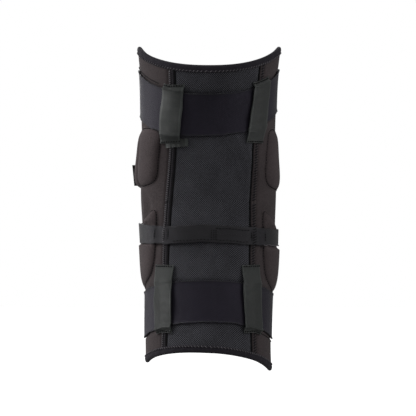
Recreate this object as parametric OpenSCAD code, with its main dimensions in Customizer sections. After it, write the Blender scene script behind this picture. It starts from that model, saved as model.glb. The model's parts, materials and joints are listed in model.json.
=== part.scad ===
// Padded knee brace for a left leg: a knitted sleeve with a mesh back, a kneecap cup,
// side and shin pads, two wide elastic straps held by webbing loops, and hemmed rims.
// +Z runs up the leg, -Y is the kneecap side and +X is the outer side of the leg.
// The origin is on the leg's centre line at the height where the knee bends.

/* [Sleeve] */
// Thickness of the knitted wall
wall = 3; // [2:0.5:4]
// Slant of the thigh and calf halves towards the back, in degrees
lean = 12; // [4:1:16]
// Height of the folded hem at each rim
hem_h = 7; // [5:0.5:10]
// Width of each flat seam beside the back mesh
seam_w = 6; // [4:0.5:8]

/* [Straps] */
// Thickness of the wide elastic
strap_t = 1.6; // [1:0.1:2]
// Width of the webbing loops
loop_w = 21; // [18:0.5:26]
// Thickness of the webbing
web_t = 1.2; // [0.8:0.1:1.6]
// Width of the narrow strap below the knee
mid_w = 17.5; // [14:0.5:22]

/* [Pads] */
// Crown of the kneecap foam above the sleeve
cup_h = 13; // [9:0.5:16]
// Thickness of the cover on the kneecap foam
cover_t = 1.2; // [0.8:0.1:1.6]
// Crown of the thigh and shin foam
front_pad_h = 7; // [4:0.5:9]
// Crown of the foam at the sides of the knee
side_pad_h = 5; // [4:0.5:7]
// Crown of the bolder foam at the outer side, above the knee
outer_pad_h = 8.5; // [5:0.5:10]

/* [Hidden] */

// The leg's outline at heights STATION apart: half width, depth to the front, depth to the back
STATION = 60;
OUTLINE = [
    [63, 52, 55],
    [63, 54, 60],
    [65.5, 58, 59],
    [68.5, 62, 57],
    [67.5, 63, 60],
    [68.7, 63, 63],
    [73, 65, 66]
];
LOWEST = -180;
ROUND = 0.88; // power of the outline: 1 is an ellipse, less is squarer
SOFT_BEND = 60; // height over which the lean comes in, above and below the knee

// The bend of the knee: its axis runs along X here, and the folding wedge opens behind it
AXIS_Y = 10;
FOLD_GAP = 0.8;
FRONT_GAP = 0.4;
WEDGE_GAP = 0.5;
PAD_FOLD_GAP = 2.5;

// The kneecap's part of the front panel, which turns with the cup
KNEE_TOP = 34;
KNEE_LOW = -30;

// Angles round the leg, from +X through the back, of the seams that join the panels
LATERAL_SEAM = [[-170, 48], [-125, 49], [-50, 53], [0, 57.5], [50, 61], [150, 62]];
MEDIAL_SEAM = [[-170, 132], [-125, 131.5], [-50, 128], [0, 127], [50, 130], [150, 138.5]];
FRONT_LATERAL = -36;
FRONT_MEDIAL = 216;
PANEL_EASE = 0.3; // angle left open between the front panel and a side panel
SEAM_EASE = 0.15; // angle left open beside a seam strip

// Angles where the knee gussets start, just behind the axis, where the wedge has opened
GUSSET_LATERAL = 8.7;
GUSSET_MEDIAL = 171.3;

// Rim and strap edges: height at the outer side, inner side, back and front
TOP_RIM = [155, 155, 130, 142];
BOTTOM_RIM = [-161, -169, -145.5, -157];
THIGH_STRAP_TOP = [132, 133, 103, 132];
THIGH_STRAP_LOW = [86, 92, 63, 91];
CALF_STRAP_TOP = [-92, -94, -76, -91];
CALF_STRAP_LOW = [-137, -138, -116, -132];
MID_TOP = [-23.5, -27.5, -24, -22];
TILT_BLEND = 0.2; // how gently a tilted ring turns level at the sides
RIM_STEP = 7.5; // angle between the points of a full ring
HEM_EASE = 0.2; // height left open between a panel and a hem

// The grip bands inside the rims
GRIP_H = 15;
GRIP_BELOW = 1; // height between a hem and its band
GRIP_LOW = 1.1; // distances in from the sleeve's inner face
GRIP_HIGH = 0.4;
HEM_PROUD = 0.8; // how far a hem stands past both faces of the wall

// Distances out from the sleeve's outer face
SEAM_PROUD = 0.4;
PATCH_LOW = 0.3;
PATCH_HIGH = 0.9;
STRAP_LOW = 1;
HOOK_LOW = 1.3;
HOOK_HIGH = 1.8;
TAB_LOW = 1.9;
MID_LOW = 0.9;
MID_OVER_PAD = 3.4;
MID_T = 1.2;
PAD_PRESSED = 2.9;
PRESS_REACH = 6; // how far past the narrow strap's edges a pad is pressed down
MID_BARE = 42; // angle to each side of the back where it lies on the bare sleeve
MID_CLIMB = 8; // angle over which it then climbs onto the pads
LOOP_SEWN = 0.6;
LOOP_OVER = STRAP_LOW + strap_t + 0.5;
LOOP_SLACK = 0.6; // how much further out a loop bows at its middle
PAD_LOW = 0.4;
EDGE_T = 1; // thickness left at the rim of a pad

// Where the straps end and their tabs begin, and where the tabs end
STRAP_END = -22;
TAB_START = -23.2;
TAB_END = -58;
PULL_END = -68;
STRAP_ANCHOR = 212;

// The patch over a strap's sewn end: angles it covers before and past that end
ANCHOR_BEFORE = 9;
ANCHOR_PAST = 3;
ANCHOR_MARGIN = 1.5; // how far it reaches past the strap's edges
ANCHOR_CLEAR = 0.3; // height above the strap
ANCHOR_T = 0.8;

function mix(a, b, t) = a + (b - a) * t;
function steps(from, to, n) = [for (k = [0:n]) mix(from, to, k / n)];
function curl(v, power) = sign(v) * pow(abs(v), power);

function smooth4(a, b, c, d, t) =
    b + 0.5 * t * (c - a + t * (2 * a - 5 * b + 4 * c - d + t * (3 * (b - c) + d - a)));

function outline(z) =
    let (at = (z - LOWEST) / STATION, last = len(OUTLINE) - 1,
         i = min(max(floor(at), 0), last - 1), t = at - i)
    smooth4(OUTLINE[max(i - 1, 0)], OUTLINE[i], OUTLINE[i + 1], OUTLINE[min(i + 2, last)], t);

function centre_y(z) = tan(lean) * (sqrt(z * z + SOFT_BEND * SOFT_BEND) - SOFT_BEND);

// The point at an angle and height, pushed out from the sleeve's outer face
function on_leg(place, out) =
    let (angle = place[0], z = place[1], o = outline(z),
         depth = sin(angle) < 0 ? o[1] : o[2],
         x = o[0] * curl(cos(angle), ROUND), y = depth * curl(sin(angle), ROUND),
         nx = curl(x / o[0], 2 / ROUND - 1) / o[0], ny = curl(y / depth, 2 / ROUND - 1) / depth,
         n = norm([nx, ny]))
    [x + out * nx / n, centre_y(z) + y + out * ny / n, z];

// Height of a tilted ring at an angle, from its height at the two sides, the back and the front
function ring_z(r, angle) =
    let (s = sin(angle), mean = (r[0] + r[1]) / 2,
         bow = (sqrt(s * s + TILT_BLEND * TILT_BLEND) - TILT_BLEND)
             / (sqrt(1 + TILT_BLEND * TILT_BLEND) - TILT_BLEND))
    mean + (r[0] - r[1]) / 2 * cos(angle) - (mean - (r[2] + r[3]) / 2) * bow
        + (r[2] - r[3]) / 2 * s;

function top_z(angle) = ring_z(TOP_RIM, angle) - hem_h;
function bottom_z(angle) = ring_z(BOTTOM_RIM, angle) + hem_h;
function seam_half(z) = seam_w / 2 / outline(z)[2] * 180 / PI;

// Height of the thigh half's lower edge: behind the axis it rises at half a right angle,
// so that the calf half can turn a full right angle before they meet
function fold_z(angle) =
    let (f = function (z) max(0, on_leg([angle, z], 1)[1] - AXIS_Y),
         a = f(20), b = f(a), c = f(b), d = f(c))
    d > 0 ? d + FOLD_GAP : FRONT_GAP;
function fold_low(angle) =
    let (f = function (z) max(0, on_leg([angle, -z], 1)[1] - AXIS_Y),
         a = f(20), b = f(a), c = f(b), d = f(c))
    d > 0 ? -d - FOLD_GAP : -FRONT_GAP;

// The solid between two distances from the sleeve's face, over a grid of (u, v).
// place turns (u, v) into an angle and a height, and low and high give the two distances.
module sheet(us, vs, place, low, high, closed = false) {
    nu = len(us);
    nv = len(vs);
    n = nu * nv;
    cells = closed ? nu - 1 : nu - 2;
    id = function (a, b) b * nu + (a % nu);
    skin = [for (b = [0:nv - 2], a = [0:cells])
        each [[id(a, b), id(a, b + 1), id(a + 1, b + 1)], [id(a, b), id(a + 1, b + 1), id(a + 1, b)]]];
    lining = [for (f = skin) [n + f[2], n + f[1], n + f[0]]];
    wall = function (p, q) [[p, q, n + q], [p, n + q, n + p]];
    foot = [for (a = [0:cells]) each wall(id(a, 0), id(a + 1, 0))];
    head = [for (a = [0:cells]) each wall(id(a + 1, nv - 1), id(a, nv - 1))];
    ends = closed ? [] : [for (b = [0:nv - 2])
        each concat(wall(id(0, b + 1), id(0, b)), wall(id(nu - 1, b), id(nu - 1, b + 1)))];
    polyhedron(
        points = concat(
            [for (v = vs, u = us) on_leg(place(u, v), high(u, v))],
            [for (v = vs, u = us) on_leg(place(u, v), low(u, v))]),
        faces = concat(skin, lining, foot, head, ends));
}

function flat(distance) = function (u, v) distance;
function flat_at(height) = function (angle) height;

// A wall panel from one angle to another, between two heights that depend on the angle
module panel(from, to, low_z, high_z, nu, nv, inner = -wall, outer = 0) {
    sheet(steps(0, 1, nu), steps(0, 1, nv),
        function (u, v)
            let (middle = mix(low_z(mix(from(0), to(0), u)), high_z(mix(from(0), to(0), u)), v),
                 angle = mix(from(middle), to(middle), u))
            [angle, mix(low_z(angle), high_z(angle), v)],
        flat(inner), flat(outer));
}

// A band that follows two tilted rings
module band(from, to, low_ring, high_ring, nu, inner, outer) {
    sheet(steps(from, to, nu), [0, 0.5, 1],
        function (u, v) [u, mix(ring_z(low_ring, u), ring_z(high_ring, u), v)],
        flat(inner), flat(outer));
}

// A full ring inside one rim, between two depths below it
module rim_ring(rim, near, far, inner, outer) {
    near_z = min(near, far);
    far_z = max(near, far);
    sheet([for (k = [0:360 / RIM_STEP - 1]) k * RIM_STEP], [0, 1],
        function (u, v) [u, ring_z(rim, u) + mix(near_z, far_z, v)],
        flat(inner), flat(outer), closed = true);
}

// The crown of a pad over its (u, v) square, from its rim to its middle
function crown_at(u, v, crown) =
    PAD_LOW + EDGE_T + (crown - EDGE_T - PAD_LOW) * pow((1 - pow(u, 4)) * (1 - pow(v, 4)), 0.6);

// A crowned pad with rounded corners. tops and feet give the heights at its two ends.
// side is 1 for a pad beside the knee above the folding wedge, and -1 for one below it,
// where the narrow strap presses the pad down.
module pad(from, to, feet, tops, crown, corner, side = 0, nu = 10, nv = 10) {
    place = function (u, v)
        let (s = (u * sqrt(1 - corner * v * v) + 1) / 2,
             t = (v * sqrt(1 - corner * u * u) + 1) / 2,
             angle = mix(from, to, s),
             foot = mix(feet[0], feet[1], s),
             top = mix(tops[0], tops[1], s),
             low = side > 0 ? max(foot, fold_z(angle) + PAD_FOLD_GAP) : foot,
             high = side < 0 ? min(top, fold_low(angle) - PAD_FOLD_GAP) : top)
        [angle, mix(low, high, t)];
    pressed = function (at)
        side < 0 && abs(at[1] - ring_z(MID_TOP, at[0]) + mid_w / 2) < mid_w / 2 + PRESS_REACH;
    sheet(steps(-1, 1, nu), steps(-1, 1, nv), place, flat(PAD_LOW),
        function (u, v) min(crown_at(u, v, crown), pressed(place(u, v)) ? PAD_PRESSED : crown));
}

// Each loop: angles at its foot and head, then the lowest foot and the highest head it may have
THIGH_LATERAL_LOOP = [59.6, 63.2, 56.5, 112];
THIGH_MEDIAL_LOOP = [129.2, 134.8, 57, 115];
CALF_LATERAL_LOOP = [49.2, 51.4, -127, -62];
CALF_MEDIAL_LOOP = [129, 127, -127, -62];
MEAN_RADIUS = 62; // of the sleeve where the loops are, to turn a width into an angle
LOOP_CLEAR = 0.6; // how far past the strap's edge a loop stays raised
LOOP_RISE = 2; // least height over which it climbs to that
LOOP_SEAM = 2.4; // height sewn down at each end
TACK_INSET = 0.8; // from a loop's cut end to its row of stitches
TACK_H = 1.2;
TACK_CLEAR = 0.15; // height of the stitches above the webbing
TACK_T = 0.4;

// Heights where a loop is cut, at an angle. Both cuts keep clear of the strap's slanting edge.
function loop_foot(l, strap_low, angle) =
    min(l[2], ring_z(strap_low, angle) - LOOP_CLEAR - LOOP_RISE - LOOP_SEAM);
function loop_head(l, strap_top, angle) =
    max(l[3], ring_z(strap_top, angle) + LOOP_CLEAR + LOOP_RISE + LOOP_SEAM);

// A webbing loop, sewn down at both ends and raised over the strap
module loop(l, strap_low, strap_top) {
    half = loop_w / 2 / MEAN_RADIUS * 180 / PI;
    low = function (angle) ring_z(strap_low, angle) - LOOP_CLEAR;
    top = function (angle) ring_z(strap_top, angle) + LOOP_CLEAR;
    foot = function (angle) loop_foot(l, strap_low, angle);
    head = function (angle) loop_head(l, strap_top, angle);
    rows = [
        [foot, LOOP_SEWN],
        [function (angle) foot(angle) + LOOP_SEAM, LOOP_SEWN],
        [low, LOOP_OVER],
        [function (angle) mix(low(angle), top(angle), 0.5), LOOP_OVER + LOOP_SLACK],
        [top, LOOP_OVER],
        [function (angle) head(angle) - LOOP_SEAM, LOOP_SEWN],
        [head, LOOP_SEWN]
    ];
    last = len(rows) - 1;
    sheet(steps(-1, 1, 4), [for (k = [0:last]) k],
        function (u, v)
            let (angle = mix(l[0], l[1], v / last) + u * half, height = rows[v][0])
            [angle, height(angle)],
        function (u, v) rows[v][1],
        function (u, v) rows[v][1] + web_t);
}

// The row of stitches across each end of two loops
module bartacks(loops, strap_low, strap_top) {
    half = (loop_w / 2 - 2) / MEAN_RADIUS * 180 / PI;
    low = LOOP_SEWN + web_t + TACK_CLEAR;
    for (l = loops) {
        sheet(steps(-1, 1, 4), [0, 1],
            function (u, v)
                let (angle = l[0] + u * half)
                [angle, loop_foot(l, strap_low, angle) + TACK_INSET + TACK_H * v],
            flat(low), flat(low + TACK_T));
        sheet(steps(-1, 1, 4), [0, 1],
            function (u, v)
                let (angle = l[1] + u * half)
                [angle, loop_head(l, strap_top, angle) - TACK_INSET - TACK_H * (1 - v)],
            flat(low), flat(low + TACK_T));
    }
}

function lateral(z) = lookup(z, LATERAL_SEAM);
function medial(z) = lookup(z, MEDIAL_SEAM);
mesh_from = function (z) lateral(z) + seam_half(z);
mesh_to = function (z) medial(z) - seam_half(z);
lateral_to = function (z) lateral(z) - seam_half(z);
medial_from = function (z) medial(z) + seam_half(z);
front_lateral = function (z) FRONT_LATERAL;
front_medial = function (z) FRONT_MEDIAL;
gusset_lateral = function (z) GUSSET_LATERAL;
gusset_medial = function (z) GUSSET_MEDIAL;
panel_medial = function (z) FRONT_MEDIAL + PANEL_EASE;
panel_lateral = function (z) 360 + FRONT_LATERAL - PANEL_EASE;
thigh_foot = function (angle) fold_z(angle);
thigh_head = function (angle) top_z(angle) - HEM_EASE;
calf_foot = function (angle) bottom_z(angle) + HEM_EASE;
calf_head = function (angle) fold_low(angle);
knee_foot = function (angle) fold_low(angle) + WEDGE_GAP;
knee_head = function (angle) fold_z(angle) - WEDGE_GAP;

// Seam strips fill the space between a side panel and the back mesh
module seams(low_z, high_z, nv) {
    for (line = [function (z) lateral(z), function (z) medial(z)])
        panel(
            function (z) line(z) - seam_half(z) + SEAM_EASE,
            function (z) line(z) + seam_half(z) - SEAM_EASE,
            low_z, high_z, 2, nv, HEM_EASE - wall, SEAM_PROUD);
}

module thigh_back_mesh() {
    color("#2d2e31") panel(mesh_from, mesh_to, thigh_foot, thigh_head, 10, 6);
}

module thigh_lateral_panel() {
    color("#3b3737") panel(front_lateral, lateral_to, thigh_foot, thigh_head, 12, 7);
}

module thigh_medial_panel() {
    color("#3b3737") panel(medial_from, front_medial, thigh_foot, thigh_head, 12, 7);
}

module thigh_front_panel() {
    color("#333034") panel(panel_medial, panel_lateral, flat_at(KNEE_TOP + FRONT_GAP), thigh_head, 14, 6);
}

module thigh_back_seams() {
    color("#3f3d42") seams(thigh_foot, thigh_head, 6);
}

module knee_back_mesh() {
    color("#2d2e31") panel(mesh_from, mesh_to, knee_foot, knee_head, 10, 6);
}

module knee_lateral_gusset() {
    color("#3b3737") panel(gusset_lateral, lateral_to, knee_foot, knee_head, 6, 4);
}

module knee_medial_gusset() {
    color("#3b3737") panel(medial_from, gusset_medial, knee_foot, knee_head, 6, 4);
}

module knee_front_panel() {
    color("#333034") panel(panel_medial, panel_lateral, flat_at(KNEE_LOW), flat_at(KNEE_TOP), 14, 3);
}

module knee_back_seams() {
    color("#3f3d42") seams(knee_foot, knee_head, 5);
}

module calf_back_mesh() {
    color("#2d2e31") panel(mesh_from, mesh_to, calf_foot, calf_head, 10, 6);
}

module calf_lateral_panel() {
    color("#3b3737") panel(front_lateral, lateral_to, calf_foot, calf_head, 12, 7);
}

module calf_medial_panel() {
    color("#3b3737") panel(medial_from, front_medial, calf_foot, calf_head, 12, 7);
}

module calf_front_panel() {
    color("#333034") panel(panel_medial, panel_lateral, calf_foot, flat_at(KNEE_LOW - FRONT_GAP), 14, 6);
}

module calf_back_seams() {
    color("#3f3d42") seams(calf_foot, calf_head, 6);
}

module thigh_hem() {
    color("#252327") rim_ring(TOP_RIM, -hem_h, 0, -wall - HEM_PROUD, HEM_PROUD);
}

module calf_hem() {
    color("#252327") rim_ring(BOTTOM_RIM, 0, hem_h, -wall - HEM_PROUD, HEM_PROUD);
}

module thigh_grip_band() {
    near = -hem_h - GRIP_BELOW;
    color("#1f1f21") rim_ring(TOP_RIM, near - GRIP_H, near, -wall - GRIP_LOW, -wall - GRIP_HIGH);
}

module calf_grip_band() {
    near = hem_h + GRIP_BELOW;
    color("#1f1f21") rim_ring(BOTTOM_RIM, near, near + GRIP_H, -wall - GRIP_LOW, -wall - GRIP_HIGH);
}

module thigh_strap() {
    color("#22212a")
        band(STRAP_END, STRAP_ANCHOR, THIGH_STRAP_LOW, THIGH_STRAP_TOP, 36, STRAP_LOW, STRAP_LOW + strap_t);
}

module calf_strap() {
    color("#22212a")
        band(STRAP_END, STRAP_ANCHOR, CALF_STRAP_LOW, CALF_STRAP_TOP, 36, STRAP_LOW, STRAP_LOW + strap_t);
}

// The box-stitched patch that covers a strap's sewn end
module anchor(strap_low, strap_top) {
    low = STRAP_LOW + strap_t + ANCHOR_CLEAR;
    foot = function (angle) ring_z(strap_low, angle) - ANCHOR_MARGIN;
    head = function (angle) ring_z(strap_top, angle) + ANCHOR_MARGIN;
    color("#2b2a2e") sheet(steps(STRAP_ANCHOR - ANCHOR_BEFORE, STRAP_ANCHOR + ANCHOR_PAST, 3), [0, 1],
        function (u, v) [u, mix(foot(u), head(u), v)],
        flat(low), flat(low + ANCHOR_T));
}

module thigh_strap_anchor() {
    anchor(THIGH_STRAP_LOW, THIGH_STRAP_TOP);
}

module calf_strap_anchor() {
    anchor(CALF_STRAP_LOW, CALF_STRAP_TOP);
}

module thigh_lateral_loop() {
    color("#3d403e") loop(THIGH_LATERAL_LOOP, THIGH_STRAP_LOW, THIGH_STRAP_TOP);
}

module thigh_medial_loop() {
    color("#3d403e") loop(THIGH_MEDIAL_LOOP, THIGH_STRAP_LOW, THIGH_STRAP_TOP);
}

module calf_lateral_loop() {
    color("#3d403e") loop(CALF_LATERAL_LOOP, CALF_STRAP_LOW, CALF_STRAP_TOP);
}

module calf_medial_loop() {
    color("#3d403e") loop(CALF_MEDIAL_LOOP, CALF_STRAP_LOW, CALF_STRAP_TOP);
}

module thigh_bartacks() {
    color("#191a1a")
        bartacks([THIGH_LATERAL_LOOP, THIGH_MEDIAL_LOOP], THIGH_STRAP_LOW, THIGH_STRAP_TOP);
}

module calf_bartacks() {
    color("#191a1a")
        bartacks([CALF_LATERAL_LOOP, CALF_MEDIAL_LOOP], CALF_STRAP_LOW, CALF_STRAP_TOP);
}

// Loop-pile patch on the front panel, where the strap's tab is pressed on
module landing(strap_low, strap_top) {
    color("#1d1c1f") sheet(steps(PULL_END - 1, FRONT_LATERAL - 1, 5), [0, 1],
        function (u, v) [u, mix(ring_z(strap_low, u) - 2, ring_z(strap_top, u) + 2, v)],
        flat(PATCH_LOW), flat(PATCH_HIGH));
}

module thigh_landing_patch() {
    landing(THIGH_STRAP_LOW, THIGH_STRAP_TOP);
}

module calf_landing_patch() {
    landing(CALF_STRAP_LOW, CALF_STRAP_TOP);
}

// The free end of a strap, from the bend where it peels
module tab(from, to, strap_low, strap_top, shrink, inner, outer, nu = 6) {
    sheet(steps(from, to, nu), [0, 0.5, 1],
        function (u, v) [u, mix(ring_z(strap_low, u) + shrink, ring_z(strap_top, u) - shrink, v)],
        flat(inner), flat(outer));
}

// The moulded thumb pull, narrower at its tip and ribbed by its crown
module pull(strap_low, strap_top) {
    color("#151516") sheet(steps(PULL_END, TAB_END - 0.6, 4), [0, 0.5, 1],
        function (u, v)
            let (taper = 5 + 9 * (TAB_END - u) / (TAB_END - PULL_END))
            [u, mix(ring_z(strap_low, u) + taper, ring_z(strap_top, u) - taper, v)],
        flat(HOOK_HIGH), flat(TAB_LOW + strap_t + 0.4));
}

module elastic_end(strap_low, strap_top) {
    color("#22212a") tab(TAB_END, TAB_START, strap_low, strap_top, 0, TAB_LOW, TAB_LOW + strap_t);
}

module hook_patch(strap_low, strap_top) {
    color("#101011")
        tab(TAB_END + 1, FRONT_LATERAL - 2, strap_low, strap_top, 2.5, HOOK_LOW, HOOK_HIGH, 4);
}

module thigh_strap_tab() {
    elastic_end(THIGH_STRAP_LOW, THIGH_STRAP_TOP);
}

module calf_strap_tab() {
    elastic_end(CALF_STRAP_LOW, CALF_STRAP_TOP);
}

module thigh_hook_patch() {
    hook_patch(THIGH_STRAP_LOW, THIGH_STRAP_TOP);
}

module calf_hook_patch() {
    hook_patch(CALF_STRAP_LOW, CALF_STRAP_TOP);
}

module thigh_tab_pull() {
    pull(THIGH_STRAP_LOW, THIGH_STRAP_TOP);
}

module calf_tab_pull() {
    pull(CALF_STRAP_LOW, CALF_STRAP_TOP);
}

module thigh_pad() {
    color("#2a282c") pad(250, 290, [62, 62], [128, 128], front_pad_h, 0.25);
}

module upper_shin_pad() {
    color("#2a282c") pad(236, 304, [-88, -88], [-50, -50], front_pad_h, 0.3);
}

module lower_shin_pad() {
    color("#2a282c") pad(250, 290, [-143, -143], [-92, -92], front_pad_h, 0.3);
}

module upper_lateral_pad() {
    color("#3d3939") pad(-12, 47, [13, 27], [70, 72], outer_pad_h, 0.3, 1);
}

module upper_medial_pad() {
    color("#3d3939") pad(144, 192, [24, 13], [71, 70], side_pad_h, 0.3, 1);
}

module lower_lateral_pad() {
    color("#3d3939") pad(-12, 38.5, [-89, -66], [-14, -10], side_pad_h, 0.25, -1, 10, 16);
}

module lower_medial_pad() {
    color("#3d3939") pad(140, 192, [-70, -90], [-10, -14], side_pad_h, 0.25, -1, 10, 16);
}

// The narrow elastic is sewn round the sleeve, from one front seam to the other,
// and climbs over the lower side pads
module mid_strap() {
    climb = function (angle)
        let (t = min(1, max(0, (abs(angle - 90) - MID_BARE) / MID_CLIMB)))
        mix(MID_LOW, MID_OVER_PAD, t * t * (3 - 2 * t));
    color("#333534") sheet(steps(FRONT_LATERAL + 1, FRONT_MEDIAL - 1, 42), [0, 1],
        function (u, v) [u, ring_z(MID_TOP, u) - mid_w * (1 - v)],
        function (u, v) climb(u), function (u, v) climb(u) + MID_T);
}

// A folded woven label that stands out from the side in front of the upper pad
module side_label() {
    stand = 7;
    label_t = 0.9;
    angle = -20;
    foot = on_leg([angle, 17], 0.3);
    head = on_leg([angle, 37], 0.3);
    out = [cos(angle), sin(angle) / 2, 0] * stand;
    along = [0, label_t, 0];
    corners = [foot, foot + out, head + out, head];
    color("#0c0c0d") polyhedron(
        points = concat(corners, [for (p = corners) p + along]),
        faces = [[0, 1, 2], [0, 2, 3], [6, 5, 4], [7, 6, 4],
            [4, 5, 1], [4, 1, 0], [5, 6, 2], [5, 2, 1],
            [6, 7, 3], [6, 3, 2], [7, 4, 0], [7, 0, 3]]);
}

CUP_FROM = 223;
CUP_TO = 317;
CUP_FEET = [-44, -44];
CUP_TOPS = [56, 56];
CUP_CORNER = 0.32;

module knee_foam_cup() {
    color("#57585a") pad(CUP_FROM, CUP_TO, CUP_FEET, CUP_TOPS, cup_h, CUP_CORNER, 0, 14, 12);
}

// The cover lies over the foam and reaches a little past it all round
module knee_cup_cover() {
    grid = concat([-1.04], steps(-1, 1, 14), [1.04]);
    rows = concat([-1.03], steps(-1, 1, 12), [1.03]);
    inside = function (a) min(1, max(-1, a));
    height = function (u, v) crown_at(inside(u), inside(v), cup_h);
    skirt = function (u, v) abs(u) > 1 || abs(v) > 1;
    place = function (u, v)
        let (s = (u * sqrt(1 - CUP_CORNER * pow(inside(v), 2)) + 1) / 2,
             t = (v * sqrt(1 - CUP_CORNER * pow(inside(u), 2)) + 1) / 2)
        [mix(CUP_FROM, CUP_TO, s), mix(CUP_FEET[0], CUP_TOPS[0], t)];
    color("#2a282c") sheet(grid, rows, place,
        function (u, v) skirt(u, v) ? PAD_LOW : height(u, v) + 0.2,
        function (u, v) skirt(u, v) ? PAD_LOW + EDGE_T + cover_t : height(u, v) + 0.2 + cover_t);
}

thigh_back_mesh();
thigh_lateral_panel();
thigh_medial_panel();
thigh_front_panel();
thigh_back_seams();
thigh_hem();
thigh_grip_band();
thigh_strap();
thigh_strap_anchor();
thigh_lateral_loop();
thigh_medial_loop();
thigh_bartacks();
thigh_landing_patch();
thigh_pad();
upper_lateral_pad();
upper_medial_pad();
side_label();
knee_back_mesh();
knee_lateral_gusset();
knee_medial_gusset();
knee_back_seams();
knee_front_panel();
knee_foam_cup();
knee_cup_cover();
calf_back_mesh();
calf_lateral_panel();
calf_medial_panel();
calf_front_panel();
calf_back_seams();
calf_hem();
calf_grip_band();
calf_strap();
calf_strap_anchor();
calf_lateral_loop();
calf_medial_loop();
calf_bartacks();
calf_landing_patch();
upper_shin_pad();
lower_shin_pad();
lower_lateral_pad();
lower_medial_pad();
mid_strap();
thigh_strap_tab();
thigh_hook_patch();
thigh_tab_pull();
calf_strap_tab();
calf_hook_patch();
calf_tab_pull();
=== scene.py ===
"""The looks of a padded knee brace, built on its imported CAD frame.

Lengths are in millimetres until they reach a mesh. An angle goes round the leg from +X, its outer
side, through +Y, the back of the knee. Every cloth piece is laid on the sleeve by on_leg().
"""

import json
import math

import bpy
import numpy as np
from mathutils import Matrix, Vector

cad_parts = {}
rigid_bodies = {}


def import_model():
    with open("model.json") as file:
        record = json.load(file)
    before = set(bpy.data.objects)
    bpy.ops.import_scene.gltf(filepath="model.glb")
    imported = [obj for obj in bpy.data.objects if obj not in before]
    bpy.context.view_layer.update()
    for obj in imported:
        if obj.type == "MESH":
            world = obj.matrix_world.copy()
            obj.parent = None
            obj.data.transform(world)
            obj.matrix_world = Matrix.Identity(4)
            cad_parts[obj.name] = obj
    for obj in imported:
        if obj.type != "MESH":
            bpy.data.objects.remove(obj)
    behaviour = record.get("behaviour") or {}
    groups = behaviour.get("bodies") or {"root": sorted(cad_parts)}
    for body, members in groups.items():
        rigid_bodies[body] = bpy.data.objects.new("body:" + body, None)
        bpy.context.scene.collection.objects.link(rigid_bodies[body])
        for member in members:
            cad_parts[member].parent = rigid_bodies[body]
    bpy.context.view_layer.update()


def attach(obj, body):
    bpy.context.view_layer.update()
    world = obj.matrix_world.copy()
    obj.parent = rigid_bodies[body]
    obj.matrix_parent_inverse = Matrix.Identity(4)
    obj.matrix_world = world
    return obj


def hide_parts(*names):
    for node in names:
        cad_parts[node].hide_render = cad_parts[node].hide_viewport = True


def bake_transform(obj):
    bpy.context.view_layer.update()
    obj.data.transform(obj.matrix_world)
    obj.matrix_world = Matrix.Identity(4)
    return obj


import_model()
CAD_NODES = {obj.name for obj in bpy.data.objects}

MM = 0.001
ARC = 1.1  # millimetres round the leg for each degree, near enough
SHARP = math.radians(55)  # edges sharper than this are shaded as edges

# The sleeve, as in the CAD source: half width, depth to the front and depth to the back
STATION = 60
LOWEST = -180
OUTLINE = np.array([
    [63, 52, 55],
    [63, 54, 60],
    [65.5, 58, 59],
    [68.5, 62, 57],
    [67.5, 63, 60],
    [68.7, 63, 63],
    [73, 65, 66],
], float)
ROUND = 0.88
LEAN = math.tan(math.radians(12))
SOFT_BEND = 60
WALL = 3

# Seam angles against height
SEAM_HEIGHTS = [-170, -125, -50, 0, 50, 150]
LATERAL_SEAM = [48, 49, 53, 57.5, 61, 62]
MEDIAL_SEAM = [132, 131.5, 128, 127, 130, 138.5]
FRONT_LATERAL = -36
FRONT_MEDIAL = 216
SEAM_HALF = 3

# Heights of the tilted rings at the outer side, inner side, back and front
TOP_RIM = (155, 155, 130, 142)
BOTTOM_RIM = (-161, -169, -145.5, -157)
THIGH_STRAP = ((86, 92, 63, 91), (132, 133, 103, 132))
CALF_STRAP = ((-137, -138, -116, -132), (-92, -94, -76, -91))
MID_STRAP = ((-41, -45, -41.5, -39.5), (-23.5, -27.5, -24, -22))
# How far the narrow strap's edges wander from its rings, at a few angles
MID_TOP_WAVE = ((-36, 6, 55, 91, 126, 159, 216), (0, 1.6, -1.2, 1.3, 0, -0.8, 0))
MID_LOW_WAVE = ((-36, 11, 55, 91, 126, 216), (0, -1.1, -0.8, 1.8, 0.5, 0))
# Where the narrow strap lies bare and where it climbs: angles from the middle of the back
MID_BARE = 42
MID_CLIMB = 8
MID_ENDS = 102
MID_DROP = 12
MID_LOW = 0.9
MID_RISE = 1.7
MID_T = 1.2
SEAM_LIFT = 2.1  # how far it lifts the stitches of a seam that crosses it
# A pad is pressed down to just under it, and rises again this far from its middle
PRESS_REACH = 10.5
PRESS_UNDER = 0.35
PRESS_SLOPE = 1.6
TILT_BLEND = 0.2
HEM = 7

STRAP_ENDS = (-22.3, 212)
STRAP_LOW = 1
STRAP_T = 1.6
STRAP_STAND = {"thigh": 4.5, "calf": 0.5}  # how far its top edge stands off behind the knee
TAB_LOW = 1.9
TAB_SPAN = (-58, -22.6)
# The angles between which a tab's cloth folds as it peels
FOLD = (-21.4, -23.6)
PULL_END = -68
WEB_T = 1.2
WEB_HALF = 10.5
LOOP_SEWN = 0.6
LOOP_OVER = STRAP_LOW + STRAP_T + 1.5
LOOP_CLEAR = 0.6
LOOP_SEAM = 2.6
LOOP_PAST = 5

# Each loop: body, name, angle at its foot and head, lowest foot, highest head, the strap it holds
LOOPS = [
    ("thigh", "lateral", 59.6, 63.2, 56.5, 112, THIGH_STRAP),
    ("thigh", "medial", 129.2, 134.8, 57, 115, THIGH_STRAP),
    ("calf", "lateral", 49.2, 51.4, -127, -62, CALF_STRAP),
    ("calf", "medial", 129, 127, -127, -62, CALF_STRAP),
]

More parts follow.
